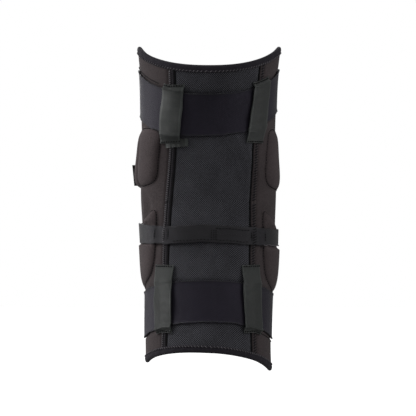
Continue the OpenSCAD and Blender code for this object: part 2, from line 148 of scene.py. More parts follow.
# Corner points of the side pads' outlines, each an angle and a height
PAD_OUTLINES = {
    "upper_lateral_pad": [
        (9, 66), (15, 71.5), (28, 72), (42, 70), (48.5, 63.5), (47.5, 54), (45.5, 40), (44, 26),
        (38, 18.5), (20, 15.5), (11, 19), (7, 30), (6, 47), (7, 58),
    ],
    "upper_medial_pad": [
        (188, 66), (172, 69.5), (158, 71), (150.5, 67), (147, 54), (144, 38), (142.5, 26),
        (147, 16.5), (163, 12.5), (180, 13), (192, 21), (195, 42), (193, 58),
    ],
    "lower_lateral_pad": [
        (40, -9), (43.5, -13), (43.5, -24), (41, -43), (37.5, -60), (31, -72), (18, -80),
        (2, -87), (-14, -86), (-22, -72), (-22, -54), (-12, -38), (4, -27), (18, -20), (30, -13),
    ],
    "lower_medial_pad": [
        (142, -10.5), (138.8, -16), (140, -34), (143, -54), (148, -72), (157, -82),
        (172, -90), (190, -87), (199, -66), (196, -46), (184, -34), (168, -26), (154, -18),
    ],
}
# The front wing of the upper outer pad
WING_OUTLINE = [
    (2, 67), (-10, 72), (-22, 66), (-27, 48), (-26, 28), (-16, 16), (-4, 14), (2, 22), (4, 44),
]
# How far each side pad stands out
PAD_CROWN = {
    "upper_lateral_pad": 4.6,
    "upper_medial_pad": 4,
    "lower_lateral_pad": 5,
    "lower_medial_pad": 5.4,
}
# How much further out a pad stands at its foot than at its head
PAD_TILT = {"upper_lateral_pad": 0.3, "upper_medial_pad": 0.15}
# Each front pad: zone, first and last angle, lowest and highest point, crown
FRONT_PADS = {
    "thigh_pad": ("upper", 250, 290, 62, 128, 6.5),
    "upper_shin_pad": ("lower", 236, 304, -88, -50, 6.5),
    "lower_shin_pad": ("lower", 250, 290, -143, -92, 6.5),
}
# The kneecap cup: first and last angle, lowest and highest point
CUP = (223, 317, -44, 56)
CUP_CROWN = 13.4
PLAIN_STITCH = (2.9, 2.0)  # pitch and length


# ---- the sleeve's shape


def curl(value, power):
    return np.sign(value) * np.abs(value) ** power


def outline(z):
    at = (np.asarray(z, float) - LOWEST) / STATION
    last = len(OUTLINE) - 1
    i = np.clip(np.floor(at).astype(int), 0, last - 1)
    t = (at - i)[..., None]
    a, b, c, d = (OUTLINE[np.clip(i + k, 0, last)] for k in (-1, 0, 1, 2))
    return b + 0.5 * t * (c - a + t * (2 * a - 5 * b + 4 * c - d + t * (3 * (b - c) + d - a)))


def centre_y(z):
    return LEAN * (np.sqrt(z * z + SOFT_BEND**2) - SOFT_BEND)


def hump(value, middle, half):
    """1 at the middle, falling smoothly to 0 at half either side."""
    t = np.clip(1 - np.abs((value - middle) / half), 0, 1)
    return t * t * (3 - 2 * t)


def pressed(angle, z, strap, soft=3.5):
    """1 under a strap and 0 away from it."""
    low, high = ring_z(strap[0], angle), ring_z(strap[1], angle)
    inside = np.clip(np.minimum(z - low, high - z) / soft + 0.5, 0, 1)
    return inside * inside * (3 - 2 * inside)


def relief(angle, z):
    """How far worn cloth stands off its smooth shape: slow unevenness, straps pressed in, folds."""
    r = np.radians(angle)
    slow = 0.35 * np.sin(3 * r + z / 31) + 0.25 * np.sin(5 * r - z / 19 + 1)
    slow = slow + 0.2 * np.sin(2 * r + z / 11)
    straps = pressed(angle, z, THIGH_STRAP) + pressed(angle, z, CALF_STRAP)
    past = np.clip(angle - 92.5, 0, 40)
    crease = -1.1 * (1 - np.exp(-past / 0.7)) * np.exp(-past / 10) * np.clip((70 - z) / 40, 0, 1)
    folds = sum(
        0.9 * hump(angle + (z - 50) * 0.3, a, 4) * hump(z, 45, 32) for a in (107, 114.5, 122)
    )
    sag = -0.9 * hump(angle, 75, 18) * hump(z, 20, 60)
    bent = 1.5 * hump(angle - 23.5 + 0.045 * (z + 4) ** 2, 0, 5) * hump(z, -4, 22)
    bent = bent - 1.3 * hump(angle - 33 + 0.045 * (z + 4) ** 2, 0, 6) * hump(z, -4, 22)
    strip = 0.7 * hump(angle, 121.5, 3.5) * hump(z, 30, 42)
    away = 1 - hump(angle, STRAP_ENDS[0], 14)
    return (slow - 1.4 * straps + crease + folds + sag + bent + strip) * away


def on_leg(angle, z, out):
    """Points in metres at an angle and height, pushed out from the sleeve's outer face."""
    angle, z, out = np.broadcast_arrays(*(np.asarray(v, float) for v in (angle, z, out)))
    r = np.radians(angle)
    size = outline(z)
    width = size[..., 0]
    depth = np.where(np.sin(r) < 0, size[..., 1], size[..., 2])
    x = curl(np.cos(r), ROUND)
    y = curl(np.sin(r), ROUND)
    nx = curl(x, 2 / ROUND - 1) / width
    ny = curl(y, 2 / ROUND - 1) / depth
    n = np.hypot(nx, ny)
    out = out + relief(angle, z)
    return np.stack([width * x + out * nx / n, centre_y(z) + depth * y + out * ny / n, z], -1) * MM


def ring_z(ring, angle):
    r = np.radians(angle)
    mean = (ring[0] + ring[1]) / 2
    high = math.hypot(1, TILT_BLEND)
    bow = (np.hypot(np.sin(r), TILT_BLEND) - TILT_BLEND) / (high - TILT_BLEND)
    side = (ring[0] - ring[1]) / 2 * np.cos(r)
    return mean + side - (mean - (ring[2] + ring[3]) / 2) * bow + (ring[2] - ring[3]) / 2 * np.sin(r)


def seam_angle(name, z):
    return np.interp(z, SEAM_HEIGHTS, LATERAL_SEAM if name == "lateral" else MEDIAL_SEAM)


def degrees_for(length, z):
    """The angle that a length in millimetres spans round the leg, near enough."""
    return np.degrees(length / outline(z)[..., 2])


# ---- meshes


def line_at(angle, z, out):
    """Places along a line, each an angle, a height and a distance out."""
    return np.stack(np.broadcast_arrays(angle, z, out), -1)


def quads(grid):
    """The four-cornered faces of a grid of point numbers."""
    return np.stack([grid[:-1, :-1], grid[:-1, 1:], grid[1:, 1:], grid[1:, :-1]], -1).reshape(-1, 4)


def make(name, points, faces, uv, material, body, nodes=(), slot=None):
    """One piece from arrays. body is a CAD body, or a knee zone of ZONES, in which case the piece stays
    unparented where it is built.
    """
    shown_as = f"{name}_cloth" if name in CAD_NODES else name
    mesh = bpy.data.meshes.new(name)
    mesh.from_pydata(points.tolist(), [], [list(f) for f in faces])
    layer = mesh.uv_layers.new(name="cloth_mm")
    layer.data.foreach_set("uv", np.asarray(uv, np.float32).reshape(-1))
    mesh.polygons.foreach_set("use_smooth", np.ones(len(mesh.polygons), bool))
    mesh.materials.append(material)
    mesh.validate()
    mesh.set_sharp_from_angle(angle=SHARP)
    obj = bpy.data.objects.new(shown_as, mesh)
    bpy.context.scene.collection.objects.link(obj)
    if nodes:
        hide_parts(*nodes)
    if body in ZONES:
        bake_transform(obj)
    else:
        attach(obj, body)
    return obj


def fold_point(body, angle):
    """A point on a tab's hinge line, a little to one side of it."""
    low, top = {"thigh": THIGH_STRAP, "calf": CALF_STRAP}[body]
    middle = (ring_z(low, angle) + ring_z(top, angle)) / 2
    return tuple(on_leg(angle, middle, TAB_LOW).tolist())


# Each zone: the body on either side of it and the points at its two ends, from thigh to knee above the
# knee's middle, and so on down; each tab's fold lies between its strap and the tab. Only the zones'
# names are read here.
ZONES = {
    "upper": ("thigh", "knee", (0, 0, 0.08), (0, 0, 0.008)),
    "lower": ("knee", "calf", (0, 0, -0.008), (0, 0, -0.08)),
    "cup_upper": ("thigh", "knee", (0, 0, 0.105), (0, 0, 0.008)),
    "cup_lower": ("knee", "calf", (0, 0, -0.008), (0, 0, -0.105)),
}
for body in ("thigh", "calf"):
    ZONES[f"{body}_fold"] = (
        body, f"{body}_tab", fold_point(body, FOLD[0]), fold_point(body, FOLD[1]),
    )


def zone_of(body):
    return {"thigh": "upper", "calf": "lower"}.get(body, body)


def lengths(points):
    """Millimetres along each grid line, across and up, for the cloth's own pattern."""
    across = np.linalg.norm(np.diff(points, axis=1), axis=2)
    up = np.linalg.norm(np.diff(points, axis=0), axis=2)
    u = np.concatenate([np.zeros((len(points), 1)), np.cumsum(across, 1)], 1)
    v = np.concatenate([np.zeros((1, points.shape[1])), np.cumsum(up, 0)], 0)
    return np.stack([u - u.mean(1, keepdims=True), v], -1) / MM


def skin(name, outer, inner, material, body, closed=False, v_from=0, **facts):
    """A closed cloth solid between two grids of points. Rows run up and columns run round."""
    nv, nu = outer.shape[:2]
    n = nv * nu
    ids = np.arange(n).reshape(nv, nu)
    wide = np.concatenate([outer, outer[:, :1]], 1) if closed else outer
    uv = lengths(wide) + [0, v_from]
    uv_ids = np.arange(wide.shape[0] * wide.shape[1]).reshape(wide.shape[:2])
    if closed:
        ids = np.concatenate([ids, ids[:, :1]], 1)

    def rim(g, shift):
        lines = [(g[0, 1:], g[0, :-1]), (g[-1, :-1], g[-1, 1:])]
        if not closed:
            lines += [(g[:-1, 0], g[1:, 0]), (g[1:, -1], g[:-1, -1])]
        return np.concatenate([np.stack([a, b, b + shift, a + shift], -1) for a, b in lines])

    front = quads(ids)
    faces = np.concatenate([front, front[:, ::-1] + n, rim(ids, n)])
    front_uv = quads(uv_ids)
    uv_faces = np.concatenate([front_uv, front_uv[:, ::-1], rim(uv_ids, 0)])
    points = np.concatenate([outer.reshape(-1, 3), inner.reshape(-1, 3)])
    return make(name, points, faces, uv.reshape(-1, 2)[uv_faces.reshape(-1)], material, body, **facts)


def lipped(count, length, lip):
    """Places from 0 to 1 with extra ones near both ends, and how thick the cloth is at each."""
    steps = np.array([0, 0.12, 0.4, 1]) * lip / length
    middle = np.linspace(steps[-1], 1 - steps[-1], count)[1:-1]
    places = np.concatenate([steps, middle, 1 - steps[::-1]])
    full = np.array([0.3, 0.72, 0.93, 1])
    return places, np.concatenate([full, np.ones(count - 2), full[::-1]])


def eased(value, places, heights):
    """A smooth line through a few points, level at each."""
    i = np.clip(np.searchsorted(places, value) - 1, 0, len(places) - 2)
    places, heights = np.asarray(places, float), np.asarray(heights, float)
    t = np.clip((value - places[i]) / (places[i + 1] - places[i]), 0, 1)
    return heights[i] + (heights[i + 1] - heights[i]) * t * t * (3 - 2 * t)


def small_waves(angle, share):
    """How far a strap's edges run up and down, in millimetres."""
    return 0.25 * np.sin(angle * 0.31) + 0.2 * np.sin(angle * 0.73 + 2)


def mid_waves(angle, share):
    top = eased(angle, *MID_TOP_WAVE)
    low = eased(angle, *MID_LOW_WAVE)
    return small_waves(angle, share) + low * (1 - share) + top * share


def band(name, angles, low_ring, top_ring, low, high, material, body, rows=14, lip=0.8,
         waves=small_waves, **facts):
    """Elastic or tape that follows two tilted rings, with rounded edges. low and high take
    the angle and the share of the way up."""
    first = angles[0]
    width = float(ring_z(top_ring, first) - ring_z(low_ring, first))
    v, full_v = lipped(rows, width, lip)
    arc = abs(angles[-1] - angles[0]) * ARC
    u, full_u = lipped(len(angles), arc, lip)
    angle = (angles[0] + (angles[-1] - angles[0]) * u)[None, :] + np.zeros((len(v), 1))
    share = v[:, None] + np.zeros_like(angle)
    z = ring_z(low_ring, angle) * (1 - share) + ring_z(top_ring, angle) * share
    z = z + waves(angle, share)
    lo = low(angle, share)
    hi = high(angle, share)
    half = (hi - lo) / 2 * full_v[:, None] * full_u[None, :]
    middle = (hi + lo) / 2
    return skin(name, on_leg(angle, z, middle + half), on_leg(angle, z, middle - half),
                material, body, **facts)


def threads(name, starts, ends, material, body, radius=0.32, rise=0.3, **facts):
    """Stitches: short tubes that rise a little between their two ends. Ends are angle, z, out."""
    starts, ends = np.asarray(starts, float), np.asarray(ends, float)
    rings, sides = 5, 5
    t = np.linspace(0, 1, rings)
    place = starts[:, None] + (ends - starts)[:, None] * t[None, :, None]
    lift = rise * np.sin(np.pi * t)
    line = on_leg(place[..., 0], place[..., 1], place[..., 2] + lift)
    outward = on_leg(place[..., 0], place[..., 1], place[..., 2] + lift + 1) - line
    outward /= np.linalg.norm(outward, axis=2, keepdims=True)
    along = line[:, -1:] - line[:, :1]
    side = np.cross(outward, along)
    side /= np.maximum(np.linalg.norm(side, axis=2, keepdims=True), 1e-9)
    turn = np.linspace(0, 2 * np.pi, sides, endpoint=False)
    thick = radius * MM * np.array([0.55, 1, 1.1, 1, 0.55])
    offset = np.cos(turn)[:, None] * outward[:, :, None] + np.sin(turn)[:, None] * side[:, :, None]
    points = line[:, :, None] + offset * thick[None, :, None, None]
    ids = np.arange(len(starts) * rings * sides).reshape(len(starts), rings, sides)
    nxt = np.roll(ids, -1, axis=2)
    tube = np.stack([ids[:, :-1], ids[:, 1:], nxt[:, 1:], nxt[:, :-1]], -1).reshape(-1, 4)
    caps = [list(c) for c in ids[:, 0]] + [list(c[::-1]) for c in ids[:, -1]]
    faces = tube.tolist() + caps
    corners = sum(len(f) for f in faces)
    span = np.zeros((corners, 2))
    return make(name, points.reshape(-1, 3), faces, span, material, body, **facts)


def dashes(line, pitch, length):
    """Stitch starts and ends spaced along a line of angle, z, out."""
    line = np.asarray(line, float)
    flat = on_leg(line[:, 0], line[:, 1], line[:, 2])
    run = np.concatenate([[0], np.cumsum(np.linalg.norm(np.diff(flat, axis=0), axis=1))]) / MM
    at = np.arange(0.3, run[-1] - length, pitch)

    def along(places):
        return np.stack([np.interp(places, run, line[:, k]) for k in range(3)], -1)

    return along(at), along(at + length)


# ---- materials


def tone(r, g, b, gain=1.0):
    """A colour from its screen values out of 255, as the shader wants it."""
    c = np.array([r, g, b], float) / 255
    linear = np.where(c <= 0.04045, c / 12.92, ((c + 0.055) / 1.055) ** 2.4) * gain
    return (*linear.tolist(), 1)


class Cloth:
    """A fabric's nodes: a height pattern in millimetres of cloth, and two colours mixed by it."""

    def __init__(self, name, dark, light, rough=0.85, sheen=0.03, gloss=0.15):
        self.material = bpy.data.materials.new(name)
        self.material.use_nodes = True
        self.tree = self.material.node_tree
        self.shader = self.tree.nodes["Principled BSDF"]
        self.dark, self.light = dark, light
        self.shader.inputs["Sheen Weight"].default_value = sheen
        self.shader.inputs["Sheen Roughness"].default_value = 0.5
        self.shader.inputs["Specular IOR Level"].default_value = gloss
        self.rough = rough
        uv = self.tree.nodes.new("ShaderNodeUVMap")
        uv.uv_map = "cloth_mm"
        split = self.tree.nodes.new("ShaderNodeSeparateXYZ")
        self.tree.links.new(uv.outputs[0], split.inputs[0])
        self.u, self.v = split.outputs[0], split.outputs[1]
        self.place = self.tree.nodes.new("ShaderNodeTexCoord").outputs["Object"]

    def math(self, operation, *values):
        node = self.tree.nodes.new("ShaderNodeMath")
        node.operation = operation
        for socket, value in zip(node.inputs, values):
            if isinstance(value, (int, float)):
                socket.default_value = value
            else:
                self.tree.links.new(value, socket)
        return node.outputs[0]

    def wave(self, along, pitch, phase=0.0):
        """A sine from 0 to 1 that repeats every pitch millimetres."""
        turns = self.math("MULTIPLY_ADD", along, 2 * math.pi / pitch, phase)
        return self.math("MULTIPLY_ADD", self.math("SINE", turns), 0.5, 0.5)

    def noise(self, size, detail=2.0):
        """Unevenness from 0 to 1, with lumps of the given size in millimetres."""
        node = self.tree.nodes.new("ShaderNodeTexNoise")
        node.inputs["Scale"].default_value = 1 / (size * MM)
        node.inputs["Detail"].default_value = detail
        self.tree.links.new(self.place, node.inputs["Vector"])
        return node.outputs["Fac"]

    def finish(self, height, shade, depth=0.25, fuzz=0.35):
        """Colour runs from dark to light with shade, and the bump follows height."""
        grain = self.math("MULTIPLY_ADD", self.noise(0.9, 2), fuzz, -fuzz / 2)
        patch = self.math("MULTIPLY_ADD", self.noise(28, 2), 0.5, -0.25)
        amount = self.math("ADD", self.math("ADD", shade, grain), patch)
        ramp = self.tree.nodes.new("ShaderNodeMix")
        ramp.data_type = "RGBA"
        self.tree.links.new(amount, ramp.inputs["Factor"])
        ramp.inputs["A"].default_value = self.dark
        ramp.inputs["B"].default_value = self.light
        self.tree.links.new(ramp.outputs["Result"], self.shader.inputs["Base Color"])
        rough = self.math("MULTIPLY_ADD", shade, -0.12, self.rough + 0.06)
        self.tree.links.new(rough, self.shader.inputs["Roughness"])
        bump = self.tree.nodes.new("ShaderNodeBump")
        bump.inputs["Strength"].default_value = 1
        bump.inputs["Distance"].default_value = depth * MM
        self.tree.links.new(height, bump.inputs["Height"])
        self.tree.links.new(bump.outputs[0], self.shader.inputs["Normal"])
        return self.material


def spacer_mesh():
    """Staggered round cells, with the cloth lighter between them."""
    c = Cloth("spacer_mesh", tone(11, 11, 13), tone(90, 90, 97), gloss=0.2)
    cells = c.math("MULTIPLY", c.wave(c.u, 2.1), c.wave(c.v, 2.1))
    between = c.math("MULTIPLY", c.wave(c.u, 2.1, math.pi), c.wave(c.v, 2.1, math.pi))
    holes = c.math("MAXIMUM", cells, between)
    threads_up = c.math("SUBTRACT", 1, holes)
    return c.finish(threads_up, c.math("POWER", threads_up, 1.8), depth=0.7, fuzz=0.6)


def knit(name, dark, light, pitch=0.9, sheen=0.04, depth=0.2):
    """Fine brushed knit: short columns broken by fuzz."""
    c = Cloth(name, dark, light, 0.9, sheen)
    ribs = c.math("MULTIPLY", c.wave(c.u, pitch), c.wave(c.v, pitch * 0.8))
    body = c.math("MULTIPLY_ADD", c.noise(1.4, 3), 0.8, 0.1)
    return c.finish(c.math("ADD", ribs, body), body, depth=depth, fuzz=0.6)


def elastic(name, dark, light, pitch=1.3):
    """Woven elastic: fine ribs across the strap with slanted rows between them."""
    c = Cloth(name, dark, light, 0.5, 0.04, 0.28)
    c.shader.inputs["Specular Tint"].default_value = (0.88, 0.84, 1, 1)
    slant = c.math("ADD", c.u, c.math("MULTIPLY", c.v, 0.6))
    rows = c.math("MULTIPLY", c.wave(slant, pitch), c.wave(c.v, pitch * 0.7))
    return c.finish(rows, c.math("MULTIPLY_ADD", rows, 0.5, 0.25), depth=0.22, fuzz=0.45)


def webbing_cloth():
    """Ribbed tape with a paler selvage along both edges."""
    c = Cloth("webbing", tone(24, 26, 25), tone(62, 66, 64), 0.46, 0.04, 0.38)
    ribs = c.wave(c.v, 1.1)
    fine = c.wave(c.u, 0.9)
    off = c.math("ABSOLUTE", c.u)
    edge = c.math("MULTIPLY", c.math("GREATER_THAN", off, WEB_HALF - 1.2), 0.45)
    shade = c.math("ADD", c.math("MULTIPLY_ADD", c.math("MULTIPLY", ribs, fine), 0.4, 0.2), edge)
    return c.finish(ribs, shade, depth=0.25, fuzz=0.4)


def plain(name, dark, light, rough=0.8, sheen=0.0, size=1.6, depth=0.15):
    """Thread, rubber and other parts whose surface is only uneven."""
    c = Cloth(name, dark, light, rough, sheen)
    body = c.noise(size, 3)
    return c.finish(body, body, depth=depth, fuzz=0.4)


MAT = {
    "mesh": spacer_mesh(),
    "side": knit("side_knit", tone(46, 41, 42), tone(79, 71, 72)),
    # The side pads' knit is the side knit made lighter: painted light on the raised pads
    "pad": knit("pad_knit_painted_light", tone(51, 45, 46), tone(86, 77, 78)),
    "front": knit("cover_knit", tone(30, 29, 33), tone(54, 52, 58)),
    "lining": knit("lining", tone(30, 30, 32), tone(52, 52, 55)),
    "binding": knit("binding", tone(28, 26, 31), tone(50, 47, 54), 0.8),
    "elastic": elastic("wide_elastic", tone(12, 10, 17), tone(38, 34, 47)),
    "narrow": elastic("narrow_elastic", tone(18, 18, 18), tone(48, 48, 47)),
    "webbing": webbing_cloth(),
    "seam": knit("seam_knit", tone(26, 25, 28), tone(50, 48, 51)),
    "thread": plain("seam_thread", tone(40, 38, 42), tone(66, 63, 68), 0.7, 0, 3),
    "pale_thread": plain("pale_thread", tone(70, 68, 72), tone(118, 114, 118), 0.7, 0, 3),
    "black_thread": plain("black_thread", tone(9, 9, 10), tone(22, 22, 24), 0.7, 0, 3),
    "silicone": plain("silicone", tone(22, 22, 24), tone(40, 40, 43), 0.35, 0),
    "hook": plain("hook", tone(14, 14, 15), tone(34, 34, 36), 0.5, 0, 0.8, 0.4),
    "pile": plain("loop_pile", tone(18, 18, 20), tone(46, 45, 48), 0.95, 0.03, 1.1, 0.5),
    "pull": plain("thumb_pull", tone(22, 22, 23), tone(38, 38, 40), 0.5, 0),
    "label": plain("label", tone(8, 8, 9), tone(24, 24, 26), 0.6, 0.1, 0.9),
}


# ---- the sleeve

STEP = 2.2  # the cloth grid's spacing


def panel(name, from_angle, to_angle, low_z, high_z, material, body, nodes, slot,
          dip=(1.2, 1.2)):
    """A wall panel between two edges, each an angle that depends on height. Its cloth dips
    beside the seams by dip, at its first and last edge."""
    columns = max(6, int(abs(to_angle(0) - from_angle(0)) * ARC / STEP))
    rows = int((high_z(90) - low_z(90)) / STEP)
    u = np.linspace(0, 1, columns + 1)[None, :]
    v = np.linspace(0, 1, rows + 1)[:, None]
    rough_z = low_z(90) + (high_z(90) - low_z(90)) * v
    angle = from_angle(rough_z) + (to_angle(rough_z) - from_angle(rough_z)) * u
    z = low_z(angle) + (high_z(angle) - low_z(angle)) * v
    angle = from_angle(z) + (to_angle(z) - from_angle(z)) * u
    span = (to_angle(z) - from_angle(z)) * ARC
    out = -dip[0] * np.exp(-(u * span / 1.3) ** 2) - dip[1] * np.exp(-((1 - u) * span / 1.3) ** 2)
    obj = skin(name, on_leg(angle, z, out), on_leg(angle, z, out - WALL), material, body,
               v_from=float(low_z(90)), nodes=nodes, slot=slot)


def top_of(angle):
    return ring_z(TOP_RIM, angle) - HEM + 1.5


def bottom_of(angle):
    return ring_z(BOTTOM_RIM, angle) + HEM - 1.5


def level(height):
    return lambda angle: height + 0 * np.asarray(angle, float)


def edge(name, side):
    """The angle of a panel's edge beside a back seam."""
    return lambda z: seam_angle(name, z) + side * degrees_for(SEAM_HALF - 0.3, z)


def fixed(angle):
    return lambda z: angle + 0 * np.asarray(z, float)


HALVES = [("upper", "thigh", level(0), top_of), ("lower", "calf", bottom_of, level(0))]
for half, body, low, high in HALVES:
    knee = half == "upper"
    panel(f"back_mesh_{half}", edge("lateral", 1), edge("medial", -1), low, high, MAT["mesh"], half,
          [f"{body}_back_mesh"] + ["knee_back_mesh"] * knee, "spacer_mesh", (2.0, 2.0))
    panel(f"lateral_panel_{half}", fixed(FRONT_LATERAL), edge("lateral", -1), low, high, MAT["side"],
          half, [f"{body}_lateral_panel"] + ["knee_lateral_gusset"] * knee, "side_knit")
    panel(f"medial_panel_{half}", edge("medial", 1), fixed(FRONT_MEDIAL), low, high, MAT["side"],
          half, [f"{body}_medial_panel"] + ["knee_medial_gusset"] * knee, "side_knit")
    panel(f"front_panel_{half}", fixed(FRONT_MEDIAL), fixed(360 + FRONT_LATERAL), low, high,
          MAT["front"], half, [f"{body}_front_panel"] + ["knee_front_panel"] * knee, "cover_knit")


def over_mid_strap(z, angle):
    """How far the narrow strap lifts what is sewn over it."""
    low, high = ring_z(MID_STRAP[0], angle), ring_z(MID_STRAP[1], angle)
    return SEAM_LIFT * hump(z, (low + high) / 2, (high - low) / 2 + 2.5) ** 0.35


# Each back seam's rows of stitches: ends across the seam, rise, start, thread and its thickness
SEAM_ROWS = {
    "lateral": [(-3, -0.6, 1.2, 0, "pale_thread", 0.4), (2.3, 0.3, 1.2, 0.5, "thread", 0.32)],
    "medial": [(-1.8, 2.8, 1.9, 0, "black_thread", 0.45), (-1.6, 1.4, 1.2, 1.3, "thread", 0.3)],
}
SEAM_PITCH = {"lateral": 1.9, "medial": 2.6}
SEAM_BASE = {"lateral": "seam", "medial": "side"}
# Where the groove lies beside each seam, on its mesh side; a black cord laid in it is painted shade
SEAM_GROOVE = {"lateral": 3.1, "medial": -3}


def flat_seams():
    """Both back seams: a soft ridge with a groove down it, a black cord of painted shade in the groove
    beside it on the mesh side, and slanted stitches over each edge.
    """
    for half, body, low, high in HALVES:
        for name, rows in SEAM_ROWS.items():
            foot_z = float(low(seam_angle(name, -150)))
            head_z = float(high(seam_angle(name, 150)))
            z = np.linspace(foot_z, head_z, 70)[:, None]
            across = np.linspace(-SEAM_HALF, SEAM_HALF, 13)[None, :]
            angle = seam_angle(name, z) + degrees_for(across, z)
            out = 1.1 * (1 - np.abs(across / SEAM_HALF) ** 3) - 0.7 * np.exp(-(across / 0.6) ** 2) - 0.4
            nodes = [f"{body}_back_seams"] + ["knee_back_seams"] * (half == "upper")
            skin(f"{name}_seam_{half}", on_leg(angle, z, out), on_leg(angle, z, -WALL),
                 MAT[SEAM_BASE[name]], half, nodes=nodes, slot="seam_thread")
            # A continuous black cord along the groove beside the seam: painted shade, not a thread of
            # the seam
            groove = seam_angle(name, z) + degrees_for(SEAM_GROOVE[name], z)
            line = np.concatenate([groove, z, over_mid_strap(z, groove) - 0.3], 1)
            threads(f"{name}_seam_groove_{half}", line[:-1], line[1:], MAT["black_thread"], half,
                    radius=0.8, rise=0, slot="seam_thread")
            for k, (near, far, rise, start, thread, radius) in enumerate(rows):
                foot = np.arange(z[0, 0] + 0.5 + start, z[-1, 0] - 2.2, SEAM_PITCH[name])
                ends = []
                for reach, height in ((near, foot), (far, foot + rise)):
                    middle = seam_angle(name, height)
                    lift = 0.5 + over_mid_strap(height, middle)
                    ends.append(line_at(middle + degrees_for(reach, height), height, lift))
                threads(f"{name}_seam_stitches_{half}_{k + 1}", *ends, MAT[thread], half,
                        radius=radius, slot="seam_thread")


flat_seams()


def hem(name, ring, up, body, nodes, slot):
    """The folded binding: one profile of distance out and depth below the rim, swept round."""
    profile = np.array([
        (0.1, -7.4), (0.45, -7.1), (0.6, -6.3), (0.5, -5.4), (0.6, -4), (0.5, -2.4), (0.1, -1),
        (-0.7, -0.2), (-1.8, 0.1), (-3.3, -0.3), (-4.2, -1.4), (-4.5, -3.6), (-4.2, -6.8), (-3.4, -7.4),
    ])
    angle = np.arange(0, 360, 2.0)[None, :]
    out = profile[:, :1] + 0 * angle
    z = ring_z(ring, angle) + profile[:, 1:] * up
    lumps = 0.25 * np.sin(np.radians(angle) * 37) * hump(profile[:, 1:], -4, 3)
    points = on_leg(angle, z, out + lumps)
    ids = np.arange(points[..., 0].size).reshape(points.shape[:2])
    ids = np.concatenate([ids, ids[:1]], 0)
    ids = np.concatenate([ids, ids[:, :1]], 1)
    loop = np.concatenate([points, points[:1]], 0)
    loop = np.concatenate([loop, loop[:, :1]], 1)
    uv = lengths(loop)
    uv_ids = np.arange(uv.shape[0] * uv.shape[1]).reshape(uv.shape[:2])

    faces, uv_faces = quads(ids)[:, ::up], quads(uv_ids)[:, ::up]
    make(name, points.reshape(-1, 3), faces, uv.reshape(-1, 2)[uv_faces.reshape(-1)],
         MAT["binding"], body, nodes=nodes, slot=slot)
    at = np.arange(0, 360, 2.7)
    for row, (a, b) in enumerate(((-5.4, -7), (-7, -5.4))):
        first = at + row * 1.35
        starts = line_at(first, ring_z(ring, first) + a * up, 0.6)
        ends = line_at(first + 1.25, ring_z(ring, first + 1.25) + b * up, 0.6)
        threads(f"{name}_stitches_{row + 1}", starts, ends, MAT["pale_thread" if row else "thread"],
                body, radius=0.36, slot="seam_thread")


hem("thigh_hem", TOP_RIM, 1, "thigh", ["thigh_hem"], "binding")
hem("calf_hem", BOTTOM_RIM, -1, "calf", ["calf_hem"], "binding")


def grip_band(name, ring, up, body, node):
    """Silicone inside a rim: a backing tape with two wavy beads."""
    angle = np.arange(0, 360, 3.0)[None, :]
    depth = np.linspace(HEM + 1.2, HEM + 15.8, 8)[:, None]
    z = ring_z(ring, angle) - up * depth
    z = z if up < 0 else z[::-1]
    tape = skin(name, on_leg(angle, z, -WALL - 0.05), on_leg(angle, z, -WALL - 0.6),
                MAT["lining"], body, closed=True, nodes=[node], slot="silicone")
    for k in range(3):
        around = np.arange(0, 361, 2.0)
        swing = 1.4 * np.sin(np.radians(around) * 36 + k * 2)
        height = ring_z(ring, around) - up * (HEM + 4 + 4.5 * k + swing)
        line = line_at(around, height, -WALL - 0.8)
        threads(f"{name}_bead_{k + 1}", line[:-1], line[1:], MAT["silicone"], body,
                             radius=0.75, rise=0, slot="silicone")


grip_band("thigh_grip_band", TOP_RIM, 1, "thigh", "thigh_grip_band")
grip_band("calf_grip_band", BOTTOM_RIM, -1, "calf", "calf_grip_band")


# ---- straps and loops


def wide_strap(body, ring):
    """The wide elastic stands off the cloth at its top edge behind the knee."""
    low_ring, top_ring = ring
    angles = np.linspace(*STRAP_ENDS, 118)

    def lift(a, v):
        return STRAP_LOW + STRAP_STAND[body] * hump(a, 94, 29) * v**3

    strap = band(f"{body}_strap", angles, low_ring, top_ring, lift,
                 lambda a, v: lift(a, v) + STRAP_T, MAT["elastic"], zone_of(body), rows=18,
                 nodes=[f"{body}_strap"], slot="wide_elastic")
    for name, ring_edge, share, reach in (
        ("lower", low_ring, 0.0, 0.8), ("upper", top_ring, 1.0, -0.8),
    ):
        a = np.linspace(STRAP_ENDS[0] + 1, STRAP_ENDS[1] - 1, 400)
        line = line_at(a, ring_z(ring_edge, a) + reach, lift(a, share) + STRAP_T - 0.1)
        starts, ends = dashes(line, 1.15, 0.95)
        threads(f"{body}_strap_{name}_selvage", starts, ends, MAT["webbing"],
                                zone_of(body), radius=0.3, rise=0.1, slot="wide_elastic")


wide_strap("thigh", THIGH_STRAP)
wide_strap("calf", CALF_STRAP)


def sewn_line(name, start, end, height, zone):
    """A row of plain stitches in the side or front cloth. height takes the angle."""
    a = np.linspace(start, end, 90)
    line = line_at(a, height(a), 0.25)
    threads(name, *dashes(line, *PLAIN_STITCH), MAT["black_thread"], zone, radius=0.42,
            rise=0.15, slot="bartack_thread")


sewn_line("thigh_side_stitches", 2, 49.5, lambda a: ring_z(THIGH_STRAP[1], a) + 3.2, "upper")
sewn_line("calf_side_stitches", 141, 176, lambda a: ring_z(CALF_STRAP[0], a) - 3.2, "lower")


def front_seams():
    """Two rows of stitches beside each seam between the front and a side."""
    for half, _, low, high in HALVES:
        for side, at in (("lateral", 360 + FRONT_LATERAL), ("medial", FRONT_MEDIAL)):
            z = np.linspace(float(low(at)), float(high(at)), 80)
            for k, reach in enumerate((-1.9, 1.9)):
                line = line_at(at + degrees_for(reach, z), z, 0.2)
                threads(f"{side}_front_stitches_{half}_{k + 1}", *dashes(line, *PLAIN_STITCH),
                        MAT["black_thread"], half, radius=0.4, rise=0.12, slot="seam_thread")


front_seams()


